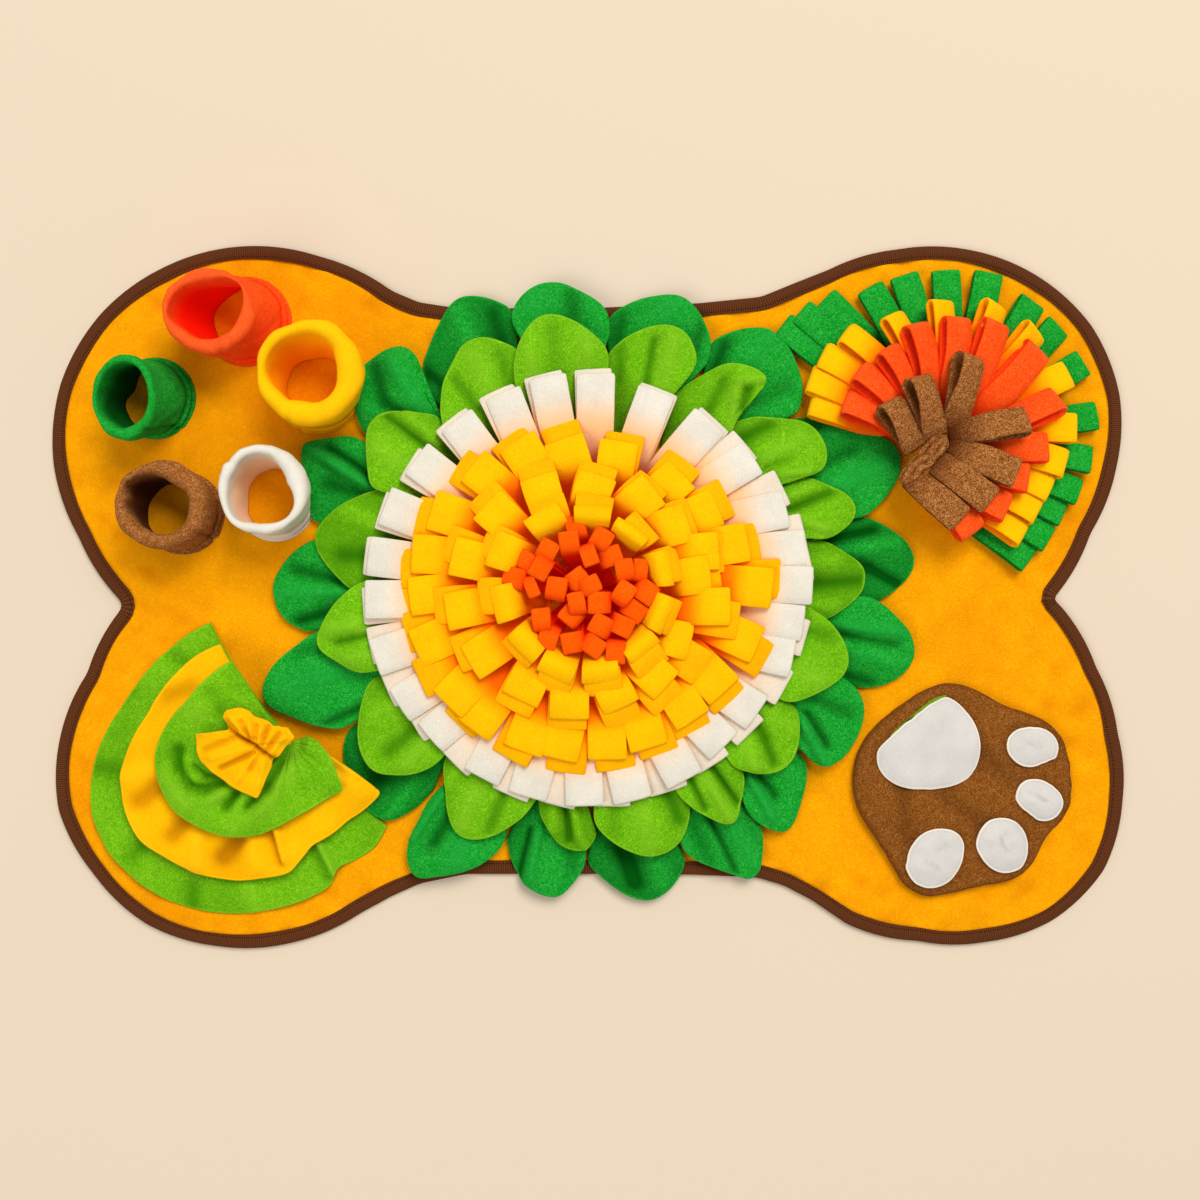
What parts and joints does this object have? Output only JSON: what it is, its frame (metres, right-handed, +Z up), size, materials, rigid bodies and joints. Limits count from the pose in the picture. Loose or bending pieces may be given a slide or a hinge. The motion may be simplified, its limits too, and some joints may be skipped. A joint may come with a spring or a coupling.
{
  "type": "snuffle mat",
  "caption": "Flat bone-shaped fleece foraging mat for pets, with a petal and strip flower, hollow tubes, a ruffled fan with a bow, a fan of loops and a padded paw.",
  "frame": {"origin": "middle of the mat's bounding box on its flat underside", "axes": "+X along the mat's length, the tubes and the layered fan at -X; +Y across its width, towards the edge by the tubes; +Z up from the floor"},
  "size_m": [0.9043, 0.5938, 0.0664],
  "materials": {
    "orange_fleece": "short napped polyester fleece, matt with a soft sheen",
    "woven_binding": "matt ribbed woven polyester tape",
    "dark_green_fleece": "short napped polyester fleece, matt with a soft sheen",
    "light_green_fleece": "short napped polyester fleece, matt with a soft sheen",
    "yellow_fleece": "short napped polyester fleece, matt with a soft sheen",
    "coral_fleece": "short napped polyester fleece, matt with a soft sheen",
    "flame_fleece": "short napped polyester fleece, matt with a soft sheen",
    "white_fleece": "short napped polyester fleece, matt with a soft sheen",
    "brown_fleece": "short napped polyester fleece, matt with a soft sheen",
    "paw_fleece": "short napped polyester fleece, matt with a soft sheen",
    "pad_fleece": "short napped polyester fleece, matt with a soft sheen"
  },
  "bodies": {
    "root": {"base_panel": "orange_fleece", "edge_binding": "woven_binding", "fan_bow": "yellow_fleece", "fan_green_lower": "light_green_fleece", "fan_green_upper": "light_green_fleece", "fan_yellow": "yellow_fleece", "loops_brown": "brown_fleece", "loops_coral": "coral_fleece", "loops_green": "dark_green_fleece", "loops_yellow": "yellow_fleece", "paw_body": "paw_fleece", "paw_main_pad": "pad_fleece", "paw_toe_1": "pad_fleece", "paw_toe_2": "pad_fleece", "paw_toe_3": "pad_fleece", "paw_toe_4": "pad_fleece", "petal_dark_01": "dark_green_fleece", "petal_dark_02": "dark_green_fleece", "petal_dark_03": "dark_green_fleece", "petal_dark_04": "dark_green_fleece", "petal_dark_05": "dark_green_fleece", "petal_dark_06": "dark_green_fleece", "petal_dark_07": "dark_green_fleece", "petal_dark_08": "dark_green_fleece", "petal_dark_09": "dark_green_fleece", "petal_dark_10": "dark_green_fleece", "petal_dark_11": "dark_green_fleece", "petal_dark_12": "dark_green_fleece", "petal_dark_13": "dark_green_fleece", "petal_dark_14": "dark_green_fleece", "petal_dark_15": "dark_green_fleece", "petal_dark_16": "dark_green_fleece", "petal_dark_17": "dark_green_fleece", "petal_dark_18": "dark_green_fleece", "petal_light_01": "light_green_fleece", "petal_light_02": "light_green_fleece", "petal_light_03": "light_green_fleece", "petal_light_04": "light_green_fleece", "petal_light_05": "light_green_fleece", "petal_light_06": "light_green_fleece", "petal_light_07": "light_green_fleece", "petal_light_08": "light_green_fleece", "petal_light_09": "light_green_fleece", "petal_light_10": "light_green_fleece", "petal_light_11": "light_green_fleece", "petal_light_12": "light_green_fleece", "petal_light_13": "light_green_fleece", "petal_light_14": "light_green_fleece", "petal_light_15": "light_green_fleece", "petal_light_16": "light_green_fleece", "petal_light_17": "light_green_fleece", "strips_heart": "flame_fleece", "strips_white": "white_fleece", "strips_yellow_inner": "yellow_fleece", "strips_yellow_outer": "yellow_fleece", "tube_brown": "brown_fleece", "tube_coral": "coral_fleece", "tube_green": "dark_green_fleece", "tube_white": "white_fleece", "tube_yellow": "yellow_fleece"}
  },
  "joints": []
}
